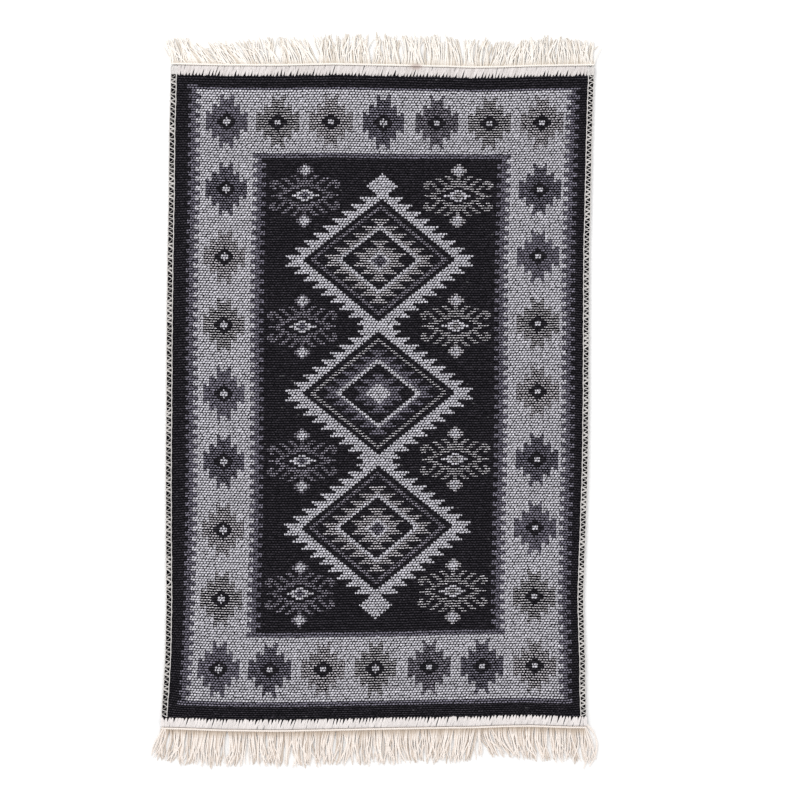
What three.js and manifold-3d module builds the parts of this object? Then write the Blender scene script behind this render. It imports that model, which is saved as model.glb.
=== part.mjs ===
// Flat-woven kilim rug with fringed ends, lying flat.
// Millimetres, +Z up, +X across the rug, +Y along it towards the far end.

import * as THREE from 'three';
import { mergeGeometries, mergeVertices } from 'three/addons/utils/BufferGeometryUtils.js';
import Module from 'manifold-3d';

const wasm = await Module();
wasm.setup();

// Driving dimensions
const FIELD_HALF_LENGTH = 455; // nominal, middle of the woven field to its end edge
const CLOTH_THICKNESS = 4.0;
const PIECE_GAP = 0.3;

const BINDING_WIDTH = 9.5; // overlocked side binding, seen from above
const BINDING_THREAD = 1.0; // its thickness over the cloth's face
const BINDING_WALL = 1.2; // its thickness outside the cut edge

const HEADING_DEPTH = 12.8; // overcast end, from the mean finger line outwards
const HEADING_THREAD = 1.1; // its thickness over the cloth's face
const HEADING_WALL = 1.2; // its thickness outside the cut end
const FINGER_PITCH = 4.6; // one overcast stitch group
const FINGER_TIP_REACH = 1.0; // tips run past the mean finger line
const FINGER_TIP_SHARE = 0.62; // part of the pitch that a tip takes up
const SLIT_DEPTH_MIN = 1.2;
const SLIT_DEPTH_SPREAD = 4.0;

const RIDGE_WIDTH = 3.4; // corded strip that holds the fringe's roots
const RIDGE_HEIGHT = 5.4;
const RIDGE_SHOULDER = 1.1;

const STRAND_PITCH = 4.1;
const STRAND_WIDTH = 2.1;
const STRAND_HEIGHT = 1.8;
const STRAND_TIP_SCALE = 0.62;
const STRAND_ROOT_DEPTH = 1.6; // length of the root inside the ridge
const STRAND_SEGMENTS = 3;
const STRAND_BOW = 1.1; // sideways bow of a strand at mid length
const STRAND_BOW_WAVE = 26; // distance across over which the bow swings
const LENGTH_SPREAD = 5.0;

// Woven field's visible side edges: the sides draw in towards the near end and flare at its corners
const SIDE_EDGES = [
  { along: 474, left: -285.0, right: 297.0 },
  { along: 444, left: -285.8, right: 296.0 },
  { along: 375, left: -287.8, right: 293.8 },
  { along: 273, left: -288.8, right: 291.5 },
  { along: 205, left: -290.3, right: 289.8 },
  { along: 104, left: -291.5, right: 289.3 },
  { along: 1, left: -292.0, right: 289.0 },
  { along: -101, left: -292.9, right: 287.7 },
  { along: -203, left: -292.7, right: 284.2 },
  { along: -271, left: -292.2, right: 281.7 },
  { along: -305, left: -292.3, right: 281.7 },
  { along: -373, left: -293.8, right: 284.1 },
  { along: -407, left: -295.9, right: 284.2 },
  { along: -441, left: -298.3, right: 285.1 },
  { along: -474, left: -299.5, right: 286.0 },
];

// Woven field's visible end edges, at the mean line of the overcast fingers
const END_EDGES = [
  { across: -310, far: 457.8, near: -454.8 },
  { across: -281, far: 457.6, near: -455.4 },
  { across: -222, far: 456.1, near: -457.7 },
  { across: -143, far: 455.7, near: -458.6 },
  { across: -63, far: 457.3, near: -457.1 },
  { across: 16, far: 455.7, near: -455.4 },
  { across: 96, far: 454.0, near: -454.0 },
  { across: 135, far: 452.7, near: -453.6 },
  { across: 175, far: 453.3, near: -452.0 },
  { across: 215, far: 454.7, near: -451.4 },
  { across: 270, far: 455.7, near: -453.4 },
  { across: 310, far: 456.2, near: -453.6 },
];

// Fringe: sideways lean at the tip and length outside the ridge, by place across the rug
const FAR_FRINGE = [
  { across: -296, lean: -10, reach: 33 },
  { across: -262, lean: -20, reach: 35 },
  { across: -225, lean: -22, reach: 33 },
  { across: -170, lean: -20, reach: 36 },
  { across: -152, lean: -6, reach: 37 },
  { across: -92, lean: -17, reach: 39 },
  { across: -77, lean: -3, reach: 38 },
  { across: -40, lean: 3, reach: 40 },
  { across: 10, lean: 0, reach: 38 },
  { across: 60, lean: -8, reach: 40 },
  { across: 78, lean: 3, reach: 40 },
  { across: 115, lean: -8, reach: 39 },
  { across: 134, lean: 5, reach: 36 },
  { across: 160, lean: 4, reach: 36 },
  { across: 180, lean: 12, reach: 33 },
  { across: 200, lean: 12, reach: 34 },
  { across: 232, lean: 1, reach: 37 },
  { across: 255, lean: 0, reach: 37 },
  { across: 284, lean: -7, reach: 34 },
  { across: 308, lean: 2, reach: 31 },
];
const NEAR_FRINGE = [
  { across: -310, lean: -9, reach: 41 },
  { across: -290, lean: -6, reach: 44 },
  { across: -262, lean: -7, reach: 47 },
  { across: -235, lean: -2, reach: 48 },
  { across: -193, lean: -6, reach: 47 },
  { across: -181, lean: 8, reach: 44 },
  { across: -165, lean: 7, reach: 47 },
  { across: -112, lean: -10, reach: 47 },
  { across: -70, lean: -4, reach: 46 },
  { across: -20, lean: 0, reach: 47 },
  { across: 22, lean: -3, reach: 46 },
  { across: 34, lean: 4, reach: 43 },
  { across: 50, lean: 7, reach: 44 },
  { across: 78, lean: -2, reach: 46 },
  { across: 134, lean: -4, reach: 45 },
  { across: 146, lean: 9, reach: 41 },
  { across: 175, lean: 14, reach: 43 },
  { across: 215, lean: 10, reach: 46 },
  { across: 245, lean: 2, reach: 44 },
  { across: 280, lean: 2, reach: 46 },
  { across: 296, lean: 10, reach: 48 },
];

const FAR = 1;
const NEAR = -1;

const clothMaterial = new THREE.MeshStandardMaterial({ color: 0x55535c, roughness: 0.95, metalness: 0 });
const bindingMaterial = new THREE.MeshStandardMaterial({ color: 0xd8d0c2, roughness: 0.9, metalness: 0 });
const headingMaterial = new THREE.MeshStandardMaterial({ color: 0xe4dedb, roughness: 0.9, metalness: 0 });
const fringeMaterial = new THREE.MeshStandardMaterial({ color: 0xebe2d2, roughness: 0.95, metalness: 0 });

// Value of a table's column at a place between its rows
function tableValue(table, place, column, position) {
  const ascending = table[0][place] < table[table.length - 1][place] ? table : table.slice().reverse();
  const next = ascending.findIndex((row) => row[place] >= position);
  const upper = ascending[next < 1 ? (next < 0 ? ascending.length - 1 : 1) : next];
  const lower = ascending[ascending.indexOf(upper) - 1];
  return THREE.MathUtils.mapLinear(position, lower[place], upper[place], lower[column], upper[column]);
}

const leftEdge = (along) => tableValue(SIDE_EDGES, 'along', 'left', along);
const rightEdge = (along) => tableValue(SIDE_EDGES, 'along', 'right', along);
const endEdge = (end, across) => tableValue(END_EDGES, 'across', end === FAR ? 'far' : 'near', across);

// Even scatter between -1 and 1 that is the same each time for the same number
function scatter(number) {
  const turned = Math.sin(number * 12.9898 + 4.1) * 43758.5453;
  return 2 * (turned - Math.floor(turned)) - 1;
}

// Closed solid through a row of sections, each the same counter-clockwise profile placed in space
function loft(profile, stations, placePoint) {
  const count = profile.length;
  const points = stations.flatMap((station) => profile.map((corner) => placePoint(corner, station)));
  const faces = [];
  for (let section = 0; section + 1 < stations.length; section++) {
    for (let side = 0; side < count; side++) {
      const here = section * count + side;
      const beside = section * count + ((side + 1) % count);
      faces.push(here, beside, beside + count, here, beside + count, here + count);
    }
  }
  const last = (stations.length - 1) * count;
  for (const [a, b, c] of THREE.ShapeUtils.triangulateShape(profile, [])) {
    faces.push(c, b, a, last + a, last + b, last + c);
  }
  const geometry = new THREE.BufferGeometry();
  geometry.setAttribute('position', new THREE.Float32BufferAttribute(points.flatMap((p) => p.toArray()), 3));
  geometry.setIndex(faces);
  return geometry;
}

function flatPlate(outline, bottom, thickness) {
  const plate = new THREE.ExtrudeGeometry(new THREE.Shape(outline), { depth: thickness, bevelEnabled: false });
  return plate.translate(0, 0, bottom);
}

function toSolid(geometry) {
  const bare = geometry.clone();
  bare.deleteAttribute('normal');
  bare.deleteAttribute('uv');
  const merged = mergeVertices(bare, 1e-5);
  return new wasm.Manifold(
    new wasm.Mesh({
      numProp: 3,
      vertProperties: new Float32Array(merged.attributes.position.array),
      triVerts: new Uint32Array(merged.index.array),
    }),
  );
}

function joined(first, second) {
  const mesh = toSolid(first).add(toSolid(second)).getMesh();
  const geometry = new THREE.BufferGeometry();
  geometry.setAttribute('position', new THREE.BufferAttribute(mesh.vertProperties, 3));
  geometry.setIndex(new THREE.BufferAttribute(mesh.triVerts, 1));
  return geometry;
}

function piece(name, geometry, material) {
  geometry.computeVertexNormals();
  const mesh = new THREE.Mesh(geometry, material);
  mesh.name = name;
  return mesh;
}

// Places across the rug, left to right, where its end edge bends, between two limits
function placesAcross(from, to) {
  const between = END_EDGES.map((row) => row.across).filter((across) => across > from && across < to);
  return [from, ...between, to];
}

// The cloth: one flat woven piece, cut just inside its bindings
const SIDE_CUT = BINDING_WIDTH - BINDING_WALL - PIECE_GAP;
const END_CUT = HEADING_DEPTH - HEADING_WALL - PIECE_GAP;

function clothOutline() {
  const sideRows = SIDE_EDGES.filter((row) => Math.abs(row.along) < FIELD_HALF_LENGTH);
  const endLine = (end) => {
    const along = end * (FIELD_HALF_LENGTH + END_CUT);
    const places = placesAcross(leftEdge(along) - SIDE_CUT, rightEdge(along) + SIDE_CUT);
    return places.map((across) => new THREE.Vector2(across, endEdge(end, across) + end * END_CUT));
  };
  const rightSide = sideRows.map((row) => new THREE.Vector2(row.right + SIDE_CUT, row.along)).reverse();
  const leftSide = sideRows.map((row) => new THREE.Vector2(row.left - SIDE_CUT, row.along));
  return [...endLine(NEAR), ...rightSide, ...endLine(FAR).reverse(), ...leftSide];
}

// A side binding: overlocked thread over the cloth's face and down its cut edge
function sideBinding(side) {
  const inner = side < 0 ? leftEdge : rightEdge;
  const top = CLOTH_THICKNESS + PIECE_GAP + BINDING_THREAD;
  const underThread = CLOTH_THICKNESS + PIECE_GAP;
  const wallFrom = BINDING_WIDTH - BINDING_WALL;
  const hook = [
    [0, underThread],
    [wallFrom, underThread],
    [wallFrom, 0],
    [BINDING_WIDTH, 0],
    [BINDING_WIDTH, top],
    [0, top],
  ];
  const profile = hook.map(([out, up]) => new THREE.Vector2(side * out, up));
  if (side < 0) profile.reverse();
  const farInner = inner(FIELD_HALF_LENGTH);
  const nearInner = inner(-FIELD_HALF_LENGTH);
  const farStop = Math.min(endEdge(FAR, farInner), endEdge(FAR, farInner + side * BINDING_WIDTH)) + HEADING_DEPTH;
  const nearEnd = Math.max(endEdge(NEAR, nearInner), endEdge(NEAR, nearInner + side * BINDING_WIDTH));
  const nearStop = nearEnd + FINGER_TIP_REACH + PIECE_GAP;
  const bends = SIDE_EDGES.map((row) => row.along).filter((along) => along < farStop && along > nearStop);
  return loft(
    profile,
    [farStop, ...bends, nearStop],
    (corner, along) => new THREE.Vector3(inner(along) + corner.x, along, corner.y),
  );
}

// A heading: the end overcast in close fingers of stitches, wrapped down over the cut end
function heading(end, from, to) {
  const outer = placesAcross(from, to).map(
    (across) => new THREE.Vector2(across, endEdge(end, across) + end * HEADING_DEPTH),
  );
  const fingers = [];
  const count = Math.round((to - from) / FINGER_PITCH);
  const pitch = (to - from) / count;
  for (let finger = 0; finger < count; finger++) {
    const start = from + finger * pitch;
    const stop = start + FINGER_TIP_SHARE * pitch;
    const slit = from + (finger + 1) * pitch - 0.5 * (1 - FINGER_TIP_SHARE) * pitch;
    const deeper = Math.max(0, scatter(finger + 31 * end)) ** 2;
    const slitDepth = SLIT_DEPTH_MIN + SLIT_DEPTH_SPREAD * deeper;
    const reach = FINGER_TIP_REACH * (0.75 + 0.25 * scatter(finger + 7 * end));
    fingers.push(new THREE.Vector2(start, endEdge(end, start) - end * reach));
    fingers.push(new THREE.Vector2(stop, endEdge(end, stop) - end * reach));
    if (finger + 1 < count) fingers.push(new THREE.Vector2(slit, endEdge(end, slit) + end * slitDepth));
  }
  fingers.push(new THREE.Vector2(to, endEdge(end, to) - end * FINGER_TIP_REACH * 0.5));
  const outline = end === FAR ? [...fingers, ...outer.reverse()] : [...outer, ...fingers.reverse()];
  const flange = flatPlate(outline, CLOTH_THICKNESS + PIECE_GAP, HEADING_THREAD);

  const top = CLOTH_THICKNESS + PIECE_GAP + HEADING_THREAD / 2;
  const inside = HEADING_DEPTH - HEADING_WALL;
  const wallProfile = [
    [inside, 0],
    [HEADING_DEPTH, 0],
    [HEADING_DEPTH, top],
    [inside, top],
  ].map(([out, up]) => new THREE.Vector2(end * out, up));
  if (end === NEAR) wallProfile.reverse();
  const wall = loft(
    wallProfile,
    placesAcross(from, to),
    (corner, across) => new THREE.Vector3(across, endEdge(end, across) + corner.x, corner.y),
  );
  return joined(flange, wall);
}

// A fringe: cotton strands lying level on the floor, fused at their roots into a corded ridge
function fringe(end, from, to) {
  const table = end === FAR ? FAR_FRINGE : NEAR_FRINGE;
  const inside = HEADING_DEPTH + PIECE_GAP;
  const outside = inside + RIDGE_WIDTH;
  const ridgeProfile = [
    [inside, 0],
    [outside, 0],
    [outside, RIDGE_HEIGHT - RIDGE_SHOULDER],
    [outside - RIDGE_SHOULDER, RIDGE_HEIGHT],
    [inside + RIDGE_SHOULDER, RIDGE_HEIGHT],
    [inside, RIDGE_HEIGHT - RIDGE_SHOULDER],
  ].map(([out, up]) => new THREE.Vector2(end * out, up));
  if (end === NEAR) ridgeProfile.reverse();
  const ridge = loft(
    ridgeProfile,
    placesAcross(from, to),
    (corner, across) => new THREE.Vector3(across, endEdge(end, across) + corner.x, corner.y),
  );

  const strandProfile = [
    new THREE.Vector2(-STRAND_WIDTH / 2, 0),
    new THREE.Vector2(STRAND_WIDTH / 2, 0),
    new THREE.Vector2(0, STRAND_HEIGHT),
  ];
  const count = Math.floor((to - from - STRAND_WIDTH) / STRAND_PITCH) + 1;
  const margin = (to - from - (count - 1) * STRAND_PITCH) / 2;
  const strands = [];
  for (let strand = 0; strand < count; strand++) {
    const across = from + margin + strand * STRAND_PITCH;
    const root = endEdge(end, across) + end * (outside - STRAND_ROOT_DEPTH);
    const lean = tableValue(table, 'across', 'lean', across) + 0.3 * scatter(strand + 11 * end);
    const reach = tableValue(table, 'across', 'reach', across) + LENGTH_SPREAD * scatter(strand * 3 + end);
    const bow = STRAND_BOW * Math.sin(across / STRAND_BOW_WAVE);
    const stations = Array.from({ length: STRAND_SEGMENTS + 1 }, (_, step) => step / STRAND_SEGMENTS);
    strands.push(
      loft(strandProfile, stations, (corner, share) => {
        const scale = THREE.MathUtils.lerp(1, STRAND_TIP_SCALE, share ** 2);
        const sideways = lean * share ** 1.4 + bow * Math.sin(Math.PI * share);
        const out = share * (reach + STRAND_ROOT_DEPTH);
        return new THREE.Vector3(
          across + sideways - end * corner.x * scale,
          root + end * out,
          corner.y * scale,
        );
      }),
    );
  }
  return joined(ridge, mergeGeometries(strands));
}

// The rug, with every piece in its place
const rug = new THREE.Group();
const farCorner = FIELD_HALF_LENGTH + HEADING_DEPTH;
const nearCorner = -farCorner;

rug.add(piece('rug_cloth', flatPlate(clothOutline(), 0, CLOTH_THICKNESS), clothMaterial));
rug.add(piece('overlock_left', sideBinding(-1), bindingMaterial));
rug.add(piece('overlock_right', sideBinding(1), bindingMaterial));

const farHeadingFrom = leftEdge(farCorner) + 2 * PIECE_GAP;
const farHeadingTo = rightEdge(FIELD_HALF_LENGTH) - 2 * PIECE_GAP;
const nearFrom = leftEdge(nearCorner) - BINDING_WIDTH;
const nearTo = rightEdge(nearCorner) + BINDING_WIDTH;
rug.add(piece('heading_far', heading(FAR, farHeadingFrom, farHeadingTo), headingMaterial));
rug.add(piece('heading_near', heading(NEAR, nearFrom, nearTo), headingMaterial));

const farFrom = leftEdge(farCorner) - BINDING_WIDTH;
const farTo = rightEdge(farCorner) + BINDING_WIDTH;
rug.add(piece('fringe_far', fringe(FAR, farFrom, farTo), fringeMaterial));
rug.add(piece('fringe_near', fringe(NEAR, nearFrom, nearTo), fringeMaterial));

// The rug's frame: middle of its whole outline, on the floor
const middle = new THREE.Box3().setFromObject(rug).getCenter(new THREE.Vector3());
rug.position.set(-middle.x, -middle.y, 0);

export default rug;
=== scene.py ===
import math

import bpy
import numpy as np
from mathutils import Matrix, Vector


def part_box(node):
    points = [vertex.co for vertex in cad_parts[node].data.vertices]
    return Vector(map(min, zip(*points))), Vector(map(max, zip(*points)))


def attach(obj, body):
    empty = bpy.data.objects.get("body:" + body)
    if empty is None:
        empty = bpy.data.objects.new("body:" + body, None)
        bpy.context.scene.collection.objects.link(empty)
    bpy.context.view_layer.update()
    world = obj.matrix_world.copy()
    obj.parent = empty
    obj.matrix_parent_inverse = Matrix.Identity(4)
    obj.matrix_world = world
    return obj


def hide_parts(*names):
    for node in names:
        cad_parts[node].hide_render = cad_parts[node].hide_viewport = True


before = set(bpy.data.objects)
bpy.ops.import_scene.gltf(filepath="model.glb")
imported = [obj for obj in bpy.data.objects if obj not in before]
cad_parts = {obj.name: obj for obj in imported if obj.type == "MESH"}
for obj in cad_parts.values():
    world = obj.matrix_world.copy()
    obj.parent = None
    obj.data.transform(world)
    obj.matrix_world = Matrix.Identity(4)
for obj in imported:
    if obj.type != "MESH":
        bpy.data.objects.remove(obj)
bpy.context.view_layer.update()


# The rug's outline: the visible edges of the woven field, which everything else is fixed to. The sides draw
# in towards the near end and flare at its corners, and both ends wander by a few millimetres, as on any
# hand-finished rug that isn't stretched on a board.
MM = 0.001
FIELD_HALF_LENGTH = 455 * MM
SIDE_CUT = 8.0 * MM
END_CUT = 11.3 * MM
FAR = 1
NEAR = -1
LEFT = -1
RIGHT = 1

# millimetres from the field's middle: along, then the left and the right edge
SIDE_EDGES = [
    (-474, -299.5, 286.0),
    (-441, -298.3, 285.1),
    (-407, -295.9, 284.2),
    (-373, -293.8, 284.1),
    (-305, -292.3, 281.7),
    (-271, -292.2, 281.7),
    (-203, -292.7, 284.2),
    (-101, -292.9, 287.7),
    (1, -292.0, 289.0),
    (104, -291.5, 289.3),
    (205, -290.3, 289.8),
    (273, -288.8, 291.5),
    (375, -287.8, 293.8),
    (444, -285.8, 296.0),
    (474, -285.0, 297.0),
]

# millimetres from the field's middle: across, then the far and the near edge
END_EDGES = [
    (-310, 457.8, -454.8),
    (-281, 457.6, -455.4),
    (-222, 456.1, -457.7),
    (-143, 455.7, -458.6),
    (-63, 457.3, -457.1),
    (16, 455.7, -455.4),
    (96, 454.0, -454.0),
    (135, 452.7, -453.6),
    (175, 453.3, -452.0),
    (215, 454.7, -451.4),
    (270, 455.7, -453.4),
    (310, 456.2, -453.6),
]

edge_along, edge_left, edge_right = np.array(SIDE_EDGES).T * MM
edge_across, edge_far, edge_near = np.array(END_EDGES).T * MM

# The tables are measured from the middle of the woven field, and the rug's frame from its whole outline
cloth_low, cloth_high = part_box("rug_cloth")
near_corner = np.interp(-FIELD_HALF_LENGTH - END_CUT, edge_along, edge_left)
shift_across = cloth_low.x - (near_corner - SIDE_CUT)
shift_along = cloth_low.y - (edge_near.min() - END_CUT)
edge_along += shift_along
edge_left += shift_across
edge_right += shift_across
edge_across += shift_across
edge_far += shift_along
edge_near += shift_along


def side_edge(side, along):
    return np.interp(along, edge_along, edge_left if side == LEFT else edge_right)


def end_edge(end, across):
    return np.interp(across, edge_across, edge_far if end == FAR else edge_near)


# The woven ground: the rug's one cotton cloth, cut at its sides and ends, with warp cords running along it.
# Only its dark cords show, in the gaps between the weft floats that cover it and carry the pattern.
GROUND_SINK = 0.75 * MM
CLOTH_TOP = cloth_high.z - GROUND_SINK
COLUMNS = 136
ROWS = 264
HIDDEN_COLUMNS = 2
HIDDEN_ROWS = 3.3
WARP_RELIEF = 0.3 * MM
GROUND_ROW_STEP = 4
GROUND_DARK, GROUND_PALE = (11, 11, 13), (24, 23, 27)
FIBRE_DETAIL = 3.0


def linear(red, green, blue):
    """Linear colour of an everyday 0 to 255 one"""
    parts = np.array((red, green, blue)) / 255
    return tuple(np.where(parts < 0.04045, parts / 12.92, ((parts + 0.055) / 1.055) ** 2.4))


def cloth_place(column, row):
    """Metres across and along the rug, of a place in floats from the left edge and rows from the far one"""
    column = np.asarray(column, float)
    row = np.asarray(row, float)
    within = np.clip(row / ROWS, 0, 1)
    past_side = np.minimum(column, 0) + np.maximum(column - COLUMNS, 0)
    past_end = -np.minimum(row, 0) - np.maximum(row - ROWS, 0)
    along = FIELD_HALF_LENGTH * (1 - 2 * within)
    # Each edge depends on the other measure, and three rounds are enough for both to settle
    for _ in range(3):
        left = side_edge(LEFT, along)
        right = side_edge(RIGHT, along)
        share = np.clip(column / COLUMNS, 0, 1)
        across = left + (right - left) * share + past_side * SIDE_CUT / HIDDEN_COLUMNS
        far = end_edge(FAR, across)
        near = end_edge(NEAR, across)
        along = far + (near - far) * within + past_end * END_CUT / HIDDEN_ROWS
    return across, along


def new_piece(name, points, faces, material=None):
    mesh = bpy.data.meshes.new(name)
    mesh.from_pydata([tuple(p) for p in points], [], faces)
    if material:
        mesh.materials.append(material)
    piece = bpy.data.objects.new(name, mesh)
    bpy.context.scene.collection.objects.link(piece)
    return piece


def node_adder(tree):
    """A short way to add a node to a tree, with its settings, and its sockets by name or as i0, i1, i2"""

    def add(kind, settings=None, **sockets):
        made = tree.nodes.new(kind)
        for key, value in (settings or {}).items():
            setattr(made, key, value)
        for key, value in sockets.items():
            socket = made.inputs[int(key[1:]) if key[1:].isdigit() else key.replace("_", " ")]
            if isinstance(value, bpy.types.NodeSocket):
                tree.links.new(value, socket)
            else:
                socket.default_value = value
        return made

    return add


def shader(name, roughness, specular=0.25, sheen=0.0):
    """A new material with its principled shader, and a short way to add its nodes"""
    material = bpy.data.materials.new(name)
    material.use_nodes = True
    surface = material.node_tree.nodes["Principled BSDF"]
    surface.inputs["Roughness"].default_value = roughness
    surface.inputs["Specular IOR Level"].default_value = specular
    surface.inputs["Sheen Weight"].default_value = sheen
    surface.inputs["Sheen Roughness"].default_value = 0.6
    return material, surface, node_adder(material.node_tree)


def fibre_noise(node, place, scale, turn=0.0):
    """Fine noise of cotton fibres, drawn out by a different scale each way"""
    spot = node("ShaderNodeMapping", Vector=place, Scale=scale, Rotation=(0, 0, turn)).outputs[0]
    return node("ShaderNodeTexNoise", Vector=spot, Scale=1.0, Detail=FIBRE_DETAIL).outputs["Fac"]


def dress(surface, node, colour, height, strength, distance):
    """Gives a shader its colour and a bump of the given height"""
    links = surface.id_data.links
    bump = node("ShaderNodeBump", Strength=strength, Distance=distance, Height=height)
    links.new(colour, surface.inputs["Base Color"])
    links.new(bump.outputs[0], surface.inputs["Normal"])


ground_material, surface, node = shader("warp_ground", 0.95, specular=0.0)
ground_place = node("ShaderNodeTexCoord").outputs["Object"]
ground_fibres = fibre_noise(node, ground_place, (1800, 300, 900))
ground_tone = node("ShaderNodeValToRGB", Fac=ground_fibres)
dark_stop, pale_stop = ground_tone.color_ramp.elements
dark_stop.position = 0.35
dark_stop.color = (*linear(*GROUND_DARK), 1)
pale_stop.position = 0.75
pale_stop.color = (*linear(*GROUND_PALE), 1)
dress(surface, node, ground_tone.outputs["Color"], ground_fibres, 0.5, 0.3 * MM)

warp_columns = np.arange(-2 * HIDDEN_COLUMNS, 2 * (COLUMNS + HIDDEN_COLUMNS) + 1) / 2
ground_rows = np.concatenate(
    ([-HIDDEN_ROWS], np.arange(0, ROWS + 1, GROUND_ROW_STEP), [ROWS, ROWS + HIDDEN_ROWS])
)
ground_column, ground_row = np.meshgrid(warp_columns, ground_rows)
ground_across, ground_along = cloth_place(ground_column, ground_row)
warp_cord = np.where((2 * ground_column).astype(int) % 2 == 0, 0.0, -WARP_RELIEF)
ground_top = np.stack((ground_across, ground_along, CLOTH_TOP + warp_cord), -1)
row_count, column_count = ground_column.shape
top_index = np.arange(row_count * column_count).reshape(row_count, column_count)
under_index = top_index + row_count * column_count
ground_points = np.concatenate((ground_top.reshape(-1, 3), ground_top.reshape(-1, 3) * (1, 1, 0)))

# The top is a quad at each half column, while the underside is one strip across at each row
ground_faces = []
for r in range(row_count - 1):
    for c in range(column_count - 1):
        far_left, far_right = top_index[r, c], top_index[r, c + 1]
        near_left, near_right = top_index[r + 1, c], top_index[r + 1, c + 1]
        ground_faces.append((near_left, near_right, far_right, far_left))
for r in range(row_count - 1):
    ground_faces.append((top_index[r, 0], under_index[r, 0], under_index[r + 1, 0], top_index[r + 1, 0]))
    right_wall = (top_index[r + 1, -1], under_index[r + 1, -1], under_index[r, -1], top_index[r, -1])
    ground_faces.append(right_wall)
    underside = (under_index[r, 0], under_index[r, -1], under_index[r + 1, -1], under_index[r + 1, 0])
    if 0 < r < row_count - 2:
        ground_faces.append(underside)
ground_faces.append((*under_index[0], under_index[1, -1], under_index[1, 0]))
ground_faces.append((under_index[-2, 0], under_index[-2, -1], *under_index[-1][::-1]))
for c in range(column_count - 1):
    ground_faces.append((top_index[0, c], top_index[0, c + 1], under_index[0, c + 1], under_index[0, c]))
    near_wall = (under_index[-1, c], under_index[-1, c + 1], top_index[-1, c + 1], top_index[-1, c])
    ground_faces.append(near_wall)

used = np.unique(np.concatenate([np.array(face) for face in ground_faces]))
renumbered = np.full(len(ground_points), -1)
renumbered[used] = np.arange(len(used))
ground = new_piece(
    "woven_ground",
    ground_points[used],
    [[int(renumbered[i]) for i in face] for face in ground_faces],
    ground_material,
)


# The pattern's chart: which yarn lies on top at each float of the weave. The rug has zigzag borders round a
# band of stepped rosettes, and in its black middle three stepped medallions in a chain with eight stars.
MIDDLE_ROW = 130.5
BLACK, LIGHT, SLATE, DIM, BRIGHT, CREAM, BEIGE, LILAC = range(8)

float_column, float_row = np.meshgrid(
    np.arange(-2 * HIDDEN_COLUMNS + 1, 2 * (COLUMNS + HIDDEN_COLUMNS)), np.arange(-3, ROWS + 3)
)
on_top = (float_column + float_row) % 2 == 0
float_row = float_row[on_top]
float_column = float_column[on_top] / 2

# Both halves of each float are charted, as a float ends halfway where the pattern's edge crosses it
half_column = np.stack((float_column - 0.25, float_column + 0.25), 1)
chart_row = np.stack((float_row, float_row), 1)
yarn = np.full(chart_row.shape, BLACK)

from_middle_row = np.abs(chart_row - MIDDLE_ROW) + 0.5


def paint(area, colour):
    yarn[area] = colour


def between(values, low, high):
    return (values >= low) & (values <= high)


# Border band: zigzag edges in floats from the sides, each given at its long teeth and between them
OUTER_FOLD, INNER_FOLD = 137.2, 136.5
FRAME_FROM = 3.5
CORNER_COLUMNS = (3.5, 7)
CORNER_ROW, FAR_FRAME_ROW, NEAR_FRAME_ROWS = 4, 5, (256, 257)
BAND_ROWS, OUTER_SLATE_FROM, LIGHT_FROM = (6, 255), (3.8, 5.0), (8.1, 6.45)
FIELD_ROWS, INNER_SLATE_FROM = (32, 229), (25.7, 27.2)
MIDDLE_ROWS, BLACK_FROM = (34, 227), (30.0, 28.4)

long_tooth = from_middle_row % 4 >= 2
outside = np.minimum(half_column, OUTER_FOLD - half_column)
inside = np.minimum(half_column, INNER_FOLD - half_column)
band_rows = between(chart_row, *BAND_ROWS)
paint((chart_row == CORNER_ROW) & between(half_column, *CORNER_COLUMNS), SLATE)
paint((chart_row == FAR_FRAME_ROW) & (outside > FRAME_FROM), SLATE)
paint(between(chart_row, *NEAR_FRAME_ROWS) & (outside > FRAME_FROM), SLATE)
paint(band_rows & (outside > np.where(long_tooth, *OUTER_SLATE_FROM)), SLATE)
paint(band_rows & (outside > np.where(long_tooth, *LIGHT_FROM)), LIGHT)
paint(between(chart_row, *FIELD_ROWS) & (inside > np.where(long_tooth, *INNER_SLATE_FROM)), SLATE)
paint(between(chart_row, *MIDDLE_ROWS) & (inside > np.where(long_tooth, *BLACK_FROM)), BLACK)

# Rosettes: stepped, with horned tips, a black diamond and a light eye
# rows from the middle, half width, horn from, horn to
ROSETTE_STEPS = [
    (3.3, 6.9, 0.0, 0.0),
    (4.3, 4.5, 5.6, 6.9),
    (6.3, 4.5, 0.0, 0.0),
    (7.3, 2.1, 3.4, 4.5),
    (9.3, 2.1, 0.0, 0.0),
    (10.2, 0.0, 1.0, 2.2),
    (11.0, 0.0, 1.4, 2.3),
]
SIDE_ROSETTE_ROWS = (46.5, 74.5, 102.5, 130.5, 158.5, 186.5, 214.5)
ROSETTE_CORE, ROSETTE_EYE, ROSETTE_PUPIL = 3.5, 1.6, 0.3
END_ROSETTE_COLUMNS = (16.7, 33.6, 51.0, 68.2, 86.0, 103.5, 120.9)
FAR_ROSETTE_ROW, NEAR_ROSETTE_ROW = 18.5, 242.5
ROSETTES_FAR = (SLATE, BRIGHT, BEIGE, DIM, LILAC, BRIGHT, BEIGE)
ROSETTES_NEAR = (SLATE, DIM, BEIGE, BRIGHT, LILAC, DIM, BEIGE)
ROSETTES_LEFT = (DIM, BEIGE, BRIGHT, SLATE, DIM, BEIGE, BRIGHT)
ROSETTES_RIGHT = (DIM, SLATE, BRIGHT, BEIGE, DIM, SLATE, BRIGHT)


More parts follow.
